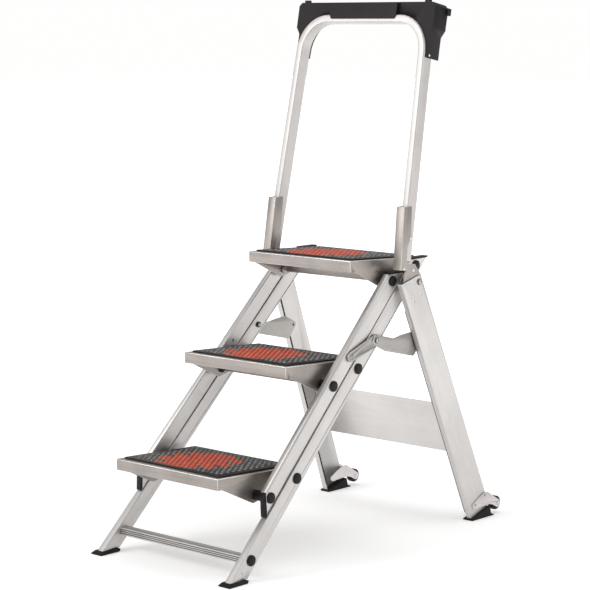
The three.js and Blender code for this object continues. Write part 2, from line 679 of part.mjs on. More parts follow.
function brace() {
  const [py, pz] = BRACE_PIVOT;
  const [dy, dz] = BRACE_DRIVE;
  const armAngle = THREE.MathUtils.radToDeg(Math.atan2(PIVOT_ARM[1], PIVOT_ARM[0]));
  const head = [
    ...arc([dy, dz], 12, armAngle + 90, armAngle + 270, 10),
    ...arc([py, pz], 15, armAngle - 90, armAngle + 90, 10),
  ];
  const arm = [
    ...arc([py, pz], 14, 60, 250, 8),
    fromHinge([-117, 471]),
    fromHinge([-10, 446]),
    fromHinge([-4, 449]),
    ...arc(GLIDE, 10, -30, 60, 4),
    fromHinge([0, 497]),
    fromHinge([-20, 507]),
    fromHinge([-57, 504]),
    fromHinge([-85, 499]),
  ];
  const headPlate = solid(sidePlate(head, BRACE_HEAD_IN, BRACE_HEAD_IN + BRACE_SHEET));
  const armPlate = solid(sidePlate(arm, BRACE_ARM_IN, BRACE_ARM_IN + BRACE_SHEET));
  const stud = solid(turned(BRACE_DRIVE, [
    [railInner(dz) + RAIL_WALL + 1, 0],
    [railInner(dz) + RAIL_WALL + 1, BRACE_BOLT_RADIUS],
    [railOuter(dz) + CAP_STAND, BRACE_BOLT_RADIUS],
    [railOuter(dz) + CAP_STAND, BRACE_WASHER_RADIUS - 2],
    [BRACE_HEAD_IN + 1, BRACE_WASHER_RADIUS - 2],
    [BRACE_HEAD_IN + 1, BRACE_HEAD_RADIUS - 1],
    [BRACE_HEAD_IN + BRACE_SHEET + 1, BRACE_HEAD_RADIUS - 1],
    [BRACE_HEAD_IN + BRACE_SHEET + 1.2, 0],
  ]));
  const bore = solid(bar(BRACE_PIVOT, BRACE_BOLT_RADIUS + FIT, 0, RAIL_SPREAD));
  const peg = solid(bar(GLIDE, 3 + FIT, 0, RAIL_SPREAD));
  return cut(union(headPlate, armPlate, stud), bore, peg);
}
placePair('brace', brace(), BRUSHED);

const [, BRACE_Z] = BRACE_PIVOT;
placePair('brace_bolt', solid(turned(BRACE_PIVOT, [
  [railInner(BRACE_Z) - CAP_STAND - 3, 0],
  [railInner(BRACE_Z) - CAP_STAND - 3, BRACE_HEAD_RADIUS],
  [railInner(BRACE_Z) - CAP_STAND, BRACE_HEAD_RADIUS],
  [railInner(BRACE_Z) - CAP_STAND, BRACE_BOLT_RADIUS],
  [railOuter(BRACE_Z) + CAP_STAND, BRACE_BOLT_RADIUS],
  [railOuter(BRACE_Z) + CAP_STAND, BRACE_WASHER_RADIUS],
  [BRACE_HEAD_IN - FIT, BRACE_WASHER_RADIUS],
  [BRACE_HEAD_IN - FIT, BRACE_BOLT_RADIUS],
  [BRACE_ARM_IN + BRACE_SHEET + FIT, BRACE_BOLT_RADIUS],
  [BRACE_ARM_IN + BRACE_SHEET + FIT, BRACE_HEAD_RADIUS],
  [BRACE_ARM_IN + BRACE_SHEET + FIT + 2.5, BRACE_HEAD_RADIUS - 1.5],
  [BRACE_ARM_IN + BRACE_SHEET + FIT + 2.5, 0],
])), BLACK);

placePair('brace_glide', solid(turned(GLIDE, [
  [BRACE_ARM_IN + 0.5, 0],
  [BRACE_ARM_IN + 0.5, 3],
  [BRACE_ARM_IN + BRACE_SHEET + FIT, 3],
  [BRACE_ARM_IN + BRACE_SHEET + FIT, GLIDE_RADIUS],
  [BRACE_ARM_IN + BRACE_SHEET + FIT + GLIDE_REACH, GLIDE_RADIUS],
  [BRACE_ARM_IN + BRACE_SHEET + FIT + GLIDE_REACH, 0],
])), BLACK);

// ---------------------------------------------------------------- hand rail: main hinge and brackets

const legInnerAtHinge = legOuter(HINGE[1] + 20) - LEG_SHEET;
const LOBE_OUT = legInnerAtHinge - 2 * FIT;
const LOBE_IN = LOBE_OUT - LOBE_THICKNESS;

placePair('hinge_bolt', solid(turned(HINGE, [
  [railInner(HINGE[1]) - CAP_STAND - 4, 0],
  [railInner(HINGE[1]) - CAP_STAND - 4, HINGE_HEAD_RADIUS],
  [railInner(HINGE[1]) - CAP_STAND, HINGE_HEAD_RADIUS],
  [railInner(HINGE[1]) - CAP_STAND, HINGE_BOLT_RADIUS],
  [legOuter(HINGE[1]) + CAP_STAND, HINGE_BOLT_RADIUS],
  [legOuter(HINGE[1]) + CAP_STAND, HINGE_HEAD_RADIUS - 2],
  [legOuter(HINGE[1]) + CAP_STAND + 2.5, HINGE_HEAD_RADIUS - 3],
  [legOuter(HINGE[1]) + CAP_STAND + 2.5, 0],
])), STEEL);

placePair('hinge_spacer', solid(turned(HINGE, [
  [railOuter(HINGE[1]) + CAP_STAND, HINGE_BOLT_RADIUS + FIT],
  [railOuter(HINGE[1]) + CAP_STAND, HINGE_SPACER_RADIUS],
  [LOBE_IN - FIT, HINGE_SPACER_RADIUS],
  [LOBE_IN - FIT, HINGE_BOLT_RADIUS + FIT],
  [railOuter(HINGE[1]) + CAP_STAND, HINGE_BOLT_RADIUS + FIT],
])), BLACK);

const HANDLE_BASE = fromHinge(HANDLE_BASE_AT);
const POST_SPREAD = RAIL_SPREAD + POST_STAND;
const TRAY_HALF = POST_SPREAD - TRAY_INSET;
const bracketFront = (z) => HINGE[0] + BRACKET_FRONT_AT + BRACKET_FRONT_SLOPE * (z - BRACKET_BOTTOM);
/** Post frame: across the tube's depth and along the post, from the base of the post's front face. */
const onPost = (depth, along) => [
  HANDLE_BASE[0] + along * Math.sin(HANDLE_LEAN) + depth * Math.cos(HANDLE_LEAN),
  HANDLE_BASE[1] + along * Math.cos(HANDLE_LEAN) - depth * Math.sin(HANDLE_LEAN),
];
const POST_LEAN_Z = POST_LEAN_IN / Math.cos(HANDLE_LEAN);
const postOuter = (z) => POST_SPREAD - POST_LEAN_Z * (z - HANDLE_BASE[1]);

function handleBracket() {
  const outerAtBase = postOuter(BRACKET_BOTTOM) + FIT + BRACKET_SHEET;
  const front = (z, inset) => [bracketFront(z) + inset, z];
  const [stepTop, stepLow] = BRACKET_SIDE_STEP;
  const sideOutline = [
    front(BRACKET_BOTTOM, 0),
    front(BRACKET_BOTTOM, BRACKET_SIDE_LOW),
    front(stepLow, BRACKET_SIDE_LOW),
    front(stepTop, BRACKET_SIDE_TOP + 5),
    front(BRACKET_TOP, BRACKET_SIDE_TOP),
    front(BRACKET_TOP, 0),
  ];
  const frontOutline = [
    front(BRACKET_BOTTOM, 0), front(BRACKET_BOTTOM, BRACKET_SHEET),
    front(BRACKET_TOP, BRACKET_SHEET), front(BRACKET_TOP, 0),
  ];
  const toPost = (geometry) => solid(leaning(geometry.translate(outerAtBase, 0, 0), POST_LEAN_Z, BRACKET_BOTTOM));
  const channel = union(
    toPost(sidePlate(frontOutline, -BRACKET_WIDTH, 0)),
    toPost(sidePlate(sideOutline, -BRACKET_SHEET, 0)),
    toPost(sidePlate(sideOutline, -BRACKET_WIDTH, -BRACKET_WIDTH + BRACKET_SHEET)),
  );
  const [hy, hz] = HINGE;
  const under = onPost(TUBE_DEPTH + 4, POST_BOTTOM - 4);
  const lobeOutline = [
    front(BRACKET_BOTTOM + 20, 0.5),
    front(BRACKET_BOTTOM, 0.5),
    fromHinge([-62, BRACKET_BOTTOM]),
    fromHinge([-56, 671]),
    ...arc(HINGE, LOBE_RADIUS, 145, 205, 6),
    ...arc(HINGE, HINGE_SPACER_RADIUS, 235, 380, 8),
    [hy + 13, hz + 15],
    [hy - 12, hz + 45],
    [under[0], under[1]],
    onPost(0, POST_BOTTOM - 4),
  ];
  const lobe = solid(sidePlate(lobeOutline, LOBE_IN, LOBE_OUT));
  const bore = solid(bar(HINGE, HINGE_BOLT_RADIUS + FIT, 0, LEG_TOP_SPREAD));
  return cut(union(channel, lobe), bore);
}
placePair('handle_bracket', handleBracket(), BRUSHED);

// ---------------------------------------------------------------- hand rail: tube and tray

/** Turns a plate drawn upright in front of the user into the plane of the leaning hand rail. */
function inHandlePlane(geometry) {
  return geometry.rotateX(-HANDLE_LEAN).translate(0, HANDLE_BASE[0], HANDLE_BASE[1]);
}

/** Outline of the hoop's outer edge, drawn in by an inset, down to a level. */
function hoopEdge(inset, bottom) {
  const half = (along) => POST_SPREAD - POST_LEAN_IN * along - inset;
  const radius = HOOP_RADIUS - inset;
  const level = HOOP_TOP - HOOP_RADIUS;
  const centre = half(level) - radius;
  const right = arc([centre, level], radius, 0, 90, 10);
  const left = right.map(([x, w]) => [-x, w]).reverse();
  return [[half(bottom), bottom], ...right, ...left, [-half(bottom), bottom]];
}

function hoop(outset, bottom, depthFrom, depthTo) {
  const outer = solid(frontPlate(hoopEdge(-outset, bottom), depthFrom, depthTo));
  const inner = solid(frontPlate(hoopEdge(TUBE_WIDTH + outset, bottom - 1), depthFrom - 1, depthTo + 1));
  return outer.subtract(inner);
}

function handleTube() {
  const shell = hoop(0, POST_BOTTOM, 0, TUBE_DEPTH);
  const core = hoop(-TUBE_WALL, POST_BOTTOM - 5, TUBE_WALL, TUBE_DEPTH - TUBE_WALL);
  return solid(inHandlePlane(geometryOf(shell.subtract(core))));
}
place('handle_tube', handleTube(), ALUMINIUM);

function handleTray() {
  const edge = (along) => POST_SPREAD - POST_LEAN_IN * along;
  const rightSide = [
    [edge(TRAY_TIP), TRAY_TIP],
    [edge(TRAY_TIP) + TRAY_SKIN, TRAY_TIP + 1],
    [edge(TRAY_NECK) + TRAY_SKIN + 1, TRAY_NECK],
    [TRAY_HALF, TRAY_SHOULDER],
    [TRAY_HALF, TRAY_TOP - TRAY_CHAMFER],
    [TRAY_HALF - TRAY_CHAMFER, TRAY_TOP],
  ];
  const leftSide = rightSide.map(([x, w]) => [-x, w]).reverse();
  const bend = hoopEdge(0, TRAY_TIP).slice(1, -1);
  const [rightBend, leftBend] = [bend.slice(0, 11), bend.slice(-11)];
  const outline = [...rightSide, ...leftSide, ...leftBend.slice().reverse(), ...rightBend.slice().reverse()];
  const notch = rightBend[10][0] - SKIRT_INSET;
  const skirt = solid(frontPlate(
    [[-notch + 6, SKIRT_EDGE], [notch - 6, SKIRT_EDGE], [notch, HOOP_TOP], [notch, TRAY_TOP - 3], [-notch, TRAY_TOP - 3], [-notch, HOOP_TOP]],
    SKIRT_FRONT, TRAY_FRONT + 1,
  ));
  const ends = SIDES.flatMap(([, side]) => {
    const across = (from, to) => (side > 0 ? [from, to] : [-to, -from]);
    const [tabFrom, tabTo] = across(TRAY_HALF - 1, TRAY_HALF + TAB_REACH);
    const [lugFrom, lugTo] = across(TRAY_HALF - LUG_INSET - LUG_WIDTH, TRAY_HALF - LUG_INSET);
    return [
      solid(box(tabFrom, tabTo, TRAY_BACK - TAB_DEPTH, TRAY_BACK, TRAY_TOP - TRAY_CHAMFER - TAB_HEIGHT, TRAY_TOP - TRAY_CHAMFER)),
      solid(box(lugFrom, lugTo, TRAY_FRONT, TRAY_FRONT + LUG_DEPTH, TRAY_TOP - 1, TRAY_TOP + LUG_HEIGHT)),
    ];
  });
  const body = union(solid(frontPlate(outline, TRAY_FRONT, TRAY_BACK)), skirt, ...ends);
  const tube = solid(frontPlate(hoopEdge(-FIT, TRAY_TIP - 20), -FIT, TUBE_DEPTH + FIT));
  const rim = TRAY_CHAMFER + TRAY_WALL;
  const pocket = solid(box(
    -TRAY_HALF + rim, TRAY_HALF - rim,
    TRAY_FRONT + TRAY_WALL + 1, TRAY_BACK - TRAY_WALL,
    TRAY_TOP - TRAY_POCKET_DEPTH, TRAY_TOP + 1,
  ));
  return solid(inHandlePlane(geometryOf(cut(body, tube, pocket))));
}
place('handle_tray', handleTray(), BLACK);

// ---------------------------------------------------------------- origin under the middle

const FRONTMOST = FRONT_FOOT_NOSE;
const REARMOST = WHEEL_CENTRE[0] + WHEEL_RADIUS;
stool.position.y = -(FRONTMOST + REARMOST) / 2;

export default stool;
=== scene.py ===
# %% [markdown]
# # A folding step stool with a hand rail
#
# The stool's frame is already built: aluminium rails, treads, legs, braces and a hand rail, each a solid
# with its place fixed. This lesson gives it its looks. We load that frame, give every sharp solid the
# rounded edges that extrusion, folding and moulding leave, add what is too small for the frame (lugs on
# the mats, rivets, screw heads), and mix the finishes from nodes.

# %% Load the frame
import json
import math

import bmesh
import bpy
from mathutils import Matrix, Vector
from mathutils.bvhtree import BVHTree

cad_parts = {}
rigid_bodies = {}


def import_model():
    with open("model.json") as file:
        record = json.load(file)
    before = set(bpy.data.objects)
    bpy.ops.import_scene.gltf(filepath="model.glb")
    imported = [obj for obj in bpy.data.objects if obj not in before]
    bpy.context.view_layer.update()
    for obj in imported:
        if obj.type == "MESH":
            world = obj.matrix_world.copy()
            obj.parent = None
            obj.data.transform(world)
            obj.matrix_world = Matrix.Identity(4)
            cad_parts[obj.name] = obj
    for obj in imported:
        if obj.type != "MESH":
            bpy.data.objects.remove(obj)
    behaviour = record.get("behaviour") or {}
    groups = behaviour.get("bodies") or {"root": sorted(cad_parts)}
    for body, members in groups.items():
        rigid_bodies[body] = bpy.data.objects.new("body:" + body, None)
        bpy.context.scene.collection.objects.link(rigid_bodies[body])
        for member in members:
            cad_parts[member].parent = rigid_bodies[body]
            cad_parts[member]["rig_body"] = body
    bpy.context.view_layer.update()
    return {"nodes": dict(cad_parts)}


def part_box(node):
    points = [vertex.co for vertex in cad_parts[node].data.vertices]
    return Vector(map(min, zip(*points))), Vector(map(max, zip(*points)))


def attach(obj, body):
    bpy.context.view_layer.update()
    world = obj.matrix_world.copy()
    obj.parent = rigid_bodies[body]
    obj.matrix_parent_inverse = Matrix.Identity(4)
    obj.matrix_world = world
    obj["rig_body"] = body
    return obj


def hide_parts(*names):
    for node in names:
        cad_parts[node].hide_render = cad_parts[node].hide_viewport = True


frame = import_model()

# %% [markdown]
# ## Camera
#
# The camera stands well back with a long lens, so that the rails stay almost parallel. It could be turned
# by hand until the view looks right, but here its place is known as a bearing round the stool, a height
# angle and a point, and three directions at right angles follow from them. They are the columns of the
# camera's matrix.

# %% Camera
BEARING, TILT, ROLL = (math.radians(angle) for angle in (42.29, 7.73, -0.18))
EYE = Vector((3.3578, -3.7118, 1.2775))
FOCAL_LENGTH = 124.84
SENSOR_WIDTH = 36

backwards = Vector((
    math.sin(BEARING) * math.cos(TILT),
    -math.cos(BEARING) * math.cos(TILT),
    math.sin(TILT),
))
level_right = Vector((math.cos(BEARING), math.sin(BEARING), 0))
rightwards = level_right * math.cos(ROLL) + backwards.cross(level_right) * math.sin(ROLL)
upwards = backwards.cross(rightwards)

lens = bpy.data.cameras.new("studio_camera")
lens.lens = FOCAL_LENGTH
lens.sensor_width = SENSOR_WIDTH
camera = bpy.data.objects.new("studio_camera", lens)
bpy.context.scene.collection.objects.link(camera)
camera.matrix_world = Matrix((
    (rightwards.x, upwards.x, backwards.x, EYE.x),
    (rightwards.y, upwards.y, backwards.y, EYE.y),
    (rightwards.z, upwards.z, backwards.z, EYE.z),
    (0, 0, 0, 1),
))
bpy.context.scene.camera = camera
bpy.context.scene.view_settings.view_transform = "Standard"
print("camera stands", round(EYE.length, 2), "m away")

# %% [markdown]
# ## Lamps
#
# A small studio lights metal with broad soft boxes, because a small lamp leaves hard white spots on it.
# The key light stands high on the left in front, so front faces are bright and the stool's right side is
# greyer. A narrow fill on the right keeps that side from going dark, and a wide one above lights the
# treads.

# %% Lamps
def softbox(name, place, aim, size, watts):
    """A broad rectangular lamp that faces a point."""
    lamp = bpy.data.lights.new(name, "AREA")
    lamp.shape = "RECTANGLE"
    lamp.size, lamp.size_y = size
    lamp.energy = watts
    holder = bpy.data.objects.new(name, lamp)
    bpy.context.scene.collection.objects.link(holder)
    holder.location = place
    holder.rotation_euler = (Vector(aim) - Vector(place)).to_track_quat("-Z", "Y").to_euler()


softbox("key_light", (-1.9, -3.6, 2.4), (0, 0, 0.6), (2.2, 2.6), 74)
softbox("fill_light", (3.8, 0.7, 1.9), (0, 0, 0.7), (1.6, 2.6), 20)
softbox("top_light", (0.2, 0.4, 3.6), (0, 0, 0.5), (2.6, 2.6), 28)
print("lamps:", len(bpy.data.lights))

# %% [markdown]
# ## Shader maths as Python
#
# A finish is a sum: a base colour, times a little grain, plus a scratch here and there. Nodes can add and
# multiply, but wiring them by hand hides the sum. So one small class wraps a node's output and overloads
# the operators, and a line of Python becomes a row of Math nodes. Colours don't survive a Math node, so
# they go through Mix instead.

# %% One class for node expressions
class Value:
    """A socket that can be added, subtracted, multiplied and compared like a number."""

    def __init__(self, tree, socket):
        self.tree = tree
        self.socket = socket

    def node(self, kind, settings=None, output=0, **inputs):
        """Any node: settings are set first, and then sockets, by name or as i0, i1 and so on."""
        made = self.tree.nodes.new(kind)
        for key, setting in (settings or {}).items():
            setattr(made, key, setting)
        for key, given in inputs.items():
            by_number = key[0] == "i" and key[1:].isdigit()
            target = made.inputs[int(key[1:]) if by_number else key]
            if isinstance(given, Value):
                self.tree.links.new(given.socket, target)
            else:
                target.default_value = given
        return Value(self.tree, made.outputs[output])

    def maths(self, operation, first, second=0.0):
        return self.node("ShaderNodeMath", {"operation": operation}, i0=first, i1=second)

    def __add__(self, other):
        return self.maths("ADD", self, other)

    def __sub__(self, other):
        return self.maths("SUBTRACT", self, other)

    def __rsub__(self, other):
        return self.maths("SUBTRACT", other, self)

    def __mul__(self, other):
        return self.maths("MULTIPLY", self, other)

    def __pow__(self, other):
        return self.maths("POWER", self, other)

    def __gt__(self, other):
        return self.maths("GREATER_THAN", self, other)

    __radd__ = __add__
    __rmul__ = __mul__

    def size(self):
        return self.maths("ABSOLUTE", self)

    def wrap(self, period):
        """Where this value stands within a repeat of a length, from 0 to 1."""
        return self.maths("FRACT", self * (1 / period))

    def fade(self, start, end):
        """0 at start and 1 at end, smooth between them and flat beyond. start may be above end."""
        if start > end:
            return 1 - self.fade(end, start)
        smooth = {"interpolation_type": "SMOOTHSTEP"}
        return self.node("ShaderNodeMapRange", smooth, i0=self, i1=start, i2=end)

    def spread(self, low, high):
        """This 0 to 1 value stretched to low to high."""
        return self * (high - low) + low

    def tint(self, dark, light):
        """A colour between two, by this value."""
        return self.node("ShaderNodeMix", {"data_type": "RGBA"}, output=2, i0=self, i6=dark, i7=light)


print("expressions ready")

# %% [markdown]
# ## The room
#
# A white backdrop would also be a white room in the metal, and metal in an all-white room looks like
# paper. So the camera sees white, and the stool sees a dimmer grey, against which the lamps draw their
# reflections.

# %% Room
ROOM_DIM = 0.6
PAPER_WHITE = (1.0, 0.995, 0.99, 1.0)

room = bpy.data.worlds.new("pale_room")
room.use_nodes = True
rays = room.node_tree.nodes.new("ShaderNodeLightPath")
seen = Value(room.node_tree, rays.outputs["Is Camera Ray"])
backdrop = room.node_tree.nodes["Background"]
backdrop.inputs["Color"].default_value = PAPER_WHITE
room.node_tree.links.new(seen.spread(ROOM_DIM, 1.0).socket, backdrop.inputs["Strength"])
bpy.context.scene.world = room
print("the stool sees a room of", ROOM_DIM)

# %% [markdown]
# ## A finish
#
# Every finish starts the same way: a Principled shader, and the place on the piece in metres. The pieces
# of this frame all sit at the origin with their place in their mesh, so Object coordinates are places on
# the whole stool, and a pattern can be laid along a rail that leans without unwrapping anything.

# %% Start of every finish
def colour(red, green, blue):
    return (red, green, blue, 1.0)


def scaled(base, factor, extra=0.0):
    return colour(*(min(1.0, part * factor + extra) for part in base[:3]))


class Finish:
    """A material on a Principled shader, with the place on the piece at hand as values."""

    def __init__(self, name, base, roughness, metallic=0.0, gloss=0.5):
        self.material = bpy.data.materials.new(name)
        self.material.use_nodes = True
        self.tree = self.material.node_tree
        self.shader = self.tree.nodes["Principled BSDF"]
        self.shader.inputs["Base Color"].default_value = base
        self.shader.inputs["Roughness"].default_value = roughness
        self.shader.inputs["Metallic"].default_value = metallic
        self.shader.inputs["Specular IOR Level"].default_value = gloss
        where = self.tree.nodes.new("ShaderNodeTexCoord")
        self.place = Value(self.tree, where.outputs["Object"])
        axes = self.tree.nodes.new("ShaderNodeSeparateXYZ")
        self.tree.links.new(self.place.socket, axes.inputs[0])
        self.x, self.y, self.z = (Value(self.tree, axis) for axis in axes.outputs)

    def noise(self, scale, detail=3.0, stretch=(1, 1, 1), turn=(0, 0, 0)):
        """Cloudy values round 0.5. Stretched, they become the streaks that a tool leaves."""
        kind = {"vector_type": "TEXTURE"}
        at = self.place.node("ShaderNodeMapping", kind, i0=self.place, Rotation=turn, Scale=stretch)
        return self.place.node("ShaderNodeTexNoise", Vector=at, Scale=scale, Detail=detail, Roughness=0.55)

    def feed(self, socket, value):
        self.tree.links.new(value.socket, self.shader.inputs[socket])

    def relief(self, height, distance, strength):
        bump = self.place.node("ShaderNodeBump", Height=height, Distance=distance, Strength=strength)
        self.feed("Normal", bump)


print("a finish starts with", len(bpy.data.materials), "materials")

# %% [markdown]
# ## Metals
#
# The rails are extruded aluminium. The die leaves hairlines along the length, and handling leaves faint
# clouds. The hairlines are noise that is squeezed across the rail and stretched along it, and since the
# rails climb at a slant, the pattern is turned by the same slant. Sheet parts are brushed across, and
# pressed brackets are coarser and browner. The long corners of sheet get a much brighter finish of their
# own, a painted highlight along the bends and edges.

# %% Aluminium and steel
RISE, GOING = 228.6, 230.5       # millimetres from tread to tread
LEG_LEAN = 0.394                 # how far a leg goes back for each metre down
RAIL_SLANT = math.atan2(RISE, GOING)
LEG_SLANT = -math.atan(1 / LEG_LEAN)
POST_LEAN = math.atan(0.1967)
POST_SLANT = math.pi / 2 - POST_LEAN
BRACE_SLANT = 0.3
STREAK = 60                      # how many times longer than wide a hairline is
METALNESS = 0.86                 # a little less than bare metal, for its film of oxide


def brushed(name, base, roughness, slant=None, depth=0.0001, clouds=0.1, specks=0.25):
    """Metal with hairlines along a slant in the side view, or across the stool if no slant is given."""
    finish = Finish(name, base, roughness, metallic=METALNESS)
    if slant is None:
        lines = finish.noise(300, 2.0, stretch=(STREAK, 1, 1))
    else:
        lines = finish.noise(320, 2.0, stretch=(1, STREAK, 1), turn=(slant, 0, 0))
    cloud = finish.noise(9, 4.0)
    pits = finish.noise(420, 1.0).fade(0.68, 0.78)
    tone = (cloud * 0.6 + lines * 0.4 - pits * specks).fade(0.3, 0.7)
    finish.feed("Base Color", tone.tint(scaled(base, 1 - clouds), scaled(base, 1 + clouds * 0.6)))
    finish.feed("Roughness", (lines * 0.7 + cloud * 0.3).spread(roughness - 0.09, roughness + 0.11))
    finish.relief(lines, depth, 0.35)
    return finish.material


rail_metal = brushed("satin_rail_aluminium", colour(0.63, 0.61, 0.596), 0.4, RAIL_SLANT)
leg_metal = brushed("satin_leg_aluminium", colour(0.63, 0.612, 0.598), 0.42, LEG_SLANT)
hoop_metal = brushed("satin_hoop_aluminium", colour(0.55, 0.528, 0.513), 0.46, POST_SLANT)
tread_metal = brushed("brushed_tread_aluminium", colour(0.335, 0.302, 0.282), 0.34, None, clouds=0.24)
# Painted highlight: the bevelled bends and edges of the treads take this much brighter aluminium.
tread_bend_highlight = brushed("painted_highlight_on_tread_bends", colour(0.68, 0.65, 0.62), 0.24, None, clouds=0.2)
panel_metal = brushed("panel_aluminium", colour(0.76, 0.738, 0.722), 0.45, None, clouds=0.08)
crossbar_metal = brushed(
    "crossbar_aluminium", colour(0.58, 0.565, 0.55), 0.34, None, 0.00003, 0.12, specks=0)
bracket_metal = brushed("brushed_bracket_steel", colour(0.36, 0.33, 0.308), 0.4, POST_SLANT, 0.0002, 0.2)
brace_metal = brushed("pressed_brace_steel", colour(0.395, 0.38, 0.362), 0.38, BRACE_SLANT, 0.00006, 0.15)
# Painted highlight along the edges of braces and brackets. Rivet and screw heads also take it, as their own
# bright steel.
rivet_and_edge_highlight_steel = brushed("bright_rivet_and_painted_edge_highlight", colour(0.66, 0.64, 0.62), 0.26, None, clouds=0.15)
fork_metal = brushed("bright_fork_steel", colour(0.70, 0.668, 0.658), 0.32, LEG_SLANT, 0.00008, 0.12)
# Painted shade for the crossbar's grooves. The hinge bolts take the same dark aluminium as their colour.
groove_shade_and_dark_bolt_metal = brushed("dark_bolt_and_painted_groove_shade_aluminium", colour(0.13, 0.125, 0.12), 0.5, None, 0.00003, 0.12)
zinc = brushed("zinc_plated_steel", colour(0.5, 0.49, 0.48), 0.28, None, 0.00008, 0.16)
print("metals:", len(bpy.data.materials))

# %% [markdown]
# ## Plastics and rubber
#
# Caps and the tray are moulded from black plastic in a mould that was lightly spark-eroded, so the
# surface has a fine grain with a soft sheen. A plain black would look like a hole: the grain is fine
# noise in the relief and the roughness, and broad clouds stand for the grease and dust of handling. Feet
# are duller rubber.

# %% Black plastic and rubber
def moulded(name, base, roughness, grain, depth):
    """Moulded black with an eroded grain and faint greasy clouds."""
    finish = Finish(name, base, roughness, gloss=0.22)
    fine = finish.noise(grain, 2.0)
    cloud = finish.noise(14, 3.0)
    tone = (cloud * 0.7 + fine * 0.3).fade(0.36, 0.72)
    finish.feed("Base Color", tone.tint(base, scaled(base, 1.8, 0.002)))
    finish.feed("Roughness", (cloud * 0.5 + fine * 0.5).spread(roughness - 0.12, roughness + 0.14))
    finish.relief(fine, depth, 0.5)
    return finish.material


cap_black = moulded("cap_black_plastic", colour(0.0045, 0.0035, 0.0038), 0.42, 900, 0.00015)
tray_black = moulded("tray_black_plastic", colour(0.006, 0.0042, 0.0044), 0.46, 700, 0.0002)
foot_rubber = moulded("foot_rubber", colour(0.006, 0.005, 0.005), 0.62, 500, 0.0003)
wheel_black = moulded("wheel_plastic", colour(0.0045, 0.004, 0.004), 0.38, 800, 0.0001)
print("metals and blacks:", len(bpy.data.materials))

# %% [markdown]
# ## Edges, chosen by their length and angle
#
# A frame solid has razor edges, and nothing made of sheet or moulded plastic does: light catches a small
# radius along every corner, and that is most of what makes metal look like metal. A Bevel modifier would
# round every edge alike, and the facets of a hole would break up. So edges are chosen first: outward
# corners that are long enough, or that pass a test of their own.

# %% Choosing edges
CORNER_ANGLE = math.radians(28)
FLAT_ANGLE = math.radians(0.6)   # faces that differ by less are one face
SMOOTH_ANGLE = math.radians(40)
WELD = 1e-6


def only(piece):
    """Makes one piece the only selected and active one."""
    bpy.ops.object.select_all(action="DESELECT")
    piece.select_set(True)
    bpy.context.view_layer.objects.active = piece


def choose_edges(piece, test):
    """Selects the outward corner edges that pass a test on (start, end, length), in edit mode."""
    bpy.ops.mesh.select_mode(type="EDGE")
    bpy.ops.mesh.select_all(action="DESELECT")
    mesh = bmesh.from_edit_mesh(piece.data)
    chosen = 0
    for edge in mesh.edges:
        corner = edge.is_manifold and edge.is_convex and edge.calc_face_angle(0) > CORNER_ANGLE
        if corner and test(edge.verts[0].co, edge.verts[1].co, edge.calc_length()):
            edge.select_set(True)
            chosen += 1
    bmesh.update_edit_mesh(piece.data)
    return chosen


print("corners are edges of more than", round(math.degrees(CORNER_ANGLE)), "degrees")

# %% [markdown]
# ## Rounded copies
#
# A frame solid's own mesh is loose triangles and stays as it is. A copy is welded, its flat faces are
# melted together, and the chosen edges are bevelled in one or two widths, as a press tool or a deburring
# wheel would leave them. The copy is then shown in the solid's place and rides on the same body. The
# bevel can give its new faces a second, brighter finish, a painted highlight along the corners.

# %% Rounded copies of the frame's solids
SIDES = (("right", 1), ("left", -1))


def bevel_edges(piece, test, width, steps, slot):
    """Bevels the edges that pass a test, if there are any."""
    if choose_edges(piece, test):
        bpy.ops.mesh.bevel(offset=width, segments=steps, affect="EDGES", clamp_overlap=False, material=slot)


def rounded(node, finish, width, steps=2, shortest=0.03, wide=None, edge_highlight=None):
    """A copy of a frame solid with its long corners rounded, shown in its place."""
    piece = bpy.data.objects.new(node + ".look", frame["nodes"][node].data.copy())
    bpy.context.scene.collection.objects.link(piece)
    piece.data.materials.clear()
    piece.data.materials.append(finish)
    if edge_highlight:
        piece.data.materials.append(edge_highlight)
    edge_slot = 1 if edge_highlight else -1
    only(piece)
    bpy.ops.object.mode_set(mode="EDIT")
    bpy.ops.mesh.select_all(action="SELECT")
    bpy.ops.mesh.remove_doubles(threshold=WELD)
    bpy.ops.mesh.dissolve_limited(angle_limit=FLAT_ANGLE)
    if wide:
        wide_test, wide_width, wide_steps = wide
        bevel_edges(piece, wide_test, wide_width, wide_steps, edge_slot)
    bevel_edges(piece, lambda a, b, length: length > shortest, width, steps, edge_slot)
    bpy.ops.object.mode_set(mode="OBJECT")
    bpy.ops.object.shade_smooth_by_angle(angle=SMOOTH_ANGLE)
    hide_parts(node)
    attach(piece, frame["nodes"][node]["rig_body"])
    return piece


def sides(stem):
    """The names of a mirrored pair, each with the sign of its side."""
    return [(f"{stem}_{word}", side) for word, side in SIDES]


def centre(node):
    """The middle of a solid's box."""
    low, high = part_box(node)
    return (low + high) / 2


print("rounding ready")

# %% [markdown]
# ## Rails and crossbar
#
# The tube's corners are drawn with a radius of about two millimetres, and the front rail's outer front
# corner is much rounder, since hands and shins meet it there. The holes and the cut ends stay sharp, as a
# saw and a drill leave them.

# %% Rails and crossbar
RAIL_RADIUS = 0.0022
FRONT_RADIUS = 0.0062
FRONT_STRIP = 0.012              # the front corner is this close to the rail's front
OUTER_HALF = 0.19                # and this far from the middle plane
GROOVE_DEPTH = 0.0005            # faces of the crossbar that lie deeper are in a groove


def front_corner_test(low, side):
    """Finds the long outer front corner of a front rail."""
    slope = math.tan(RAIL_SLANT)

    def test(a, b, length):
        ahead = max(point.y - (point.z - low.z) / slope for point in (a, b)) < low.y + FRONT_STRIP
        outward = min(side * a.x, side * b.x) > OUTER_HALF
        return length > 0.3 and ahead and outward

    return test


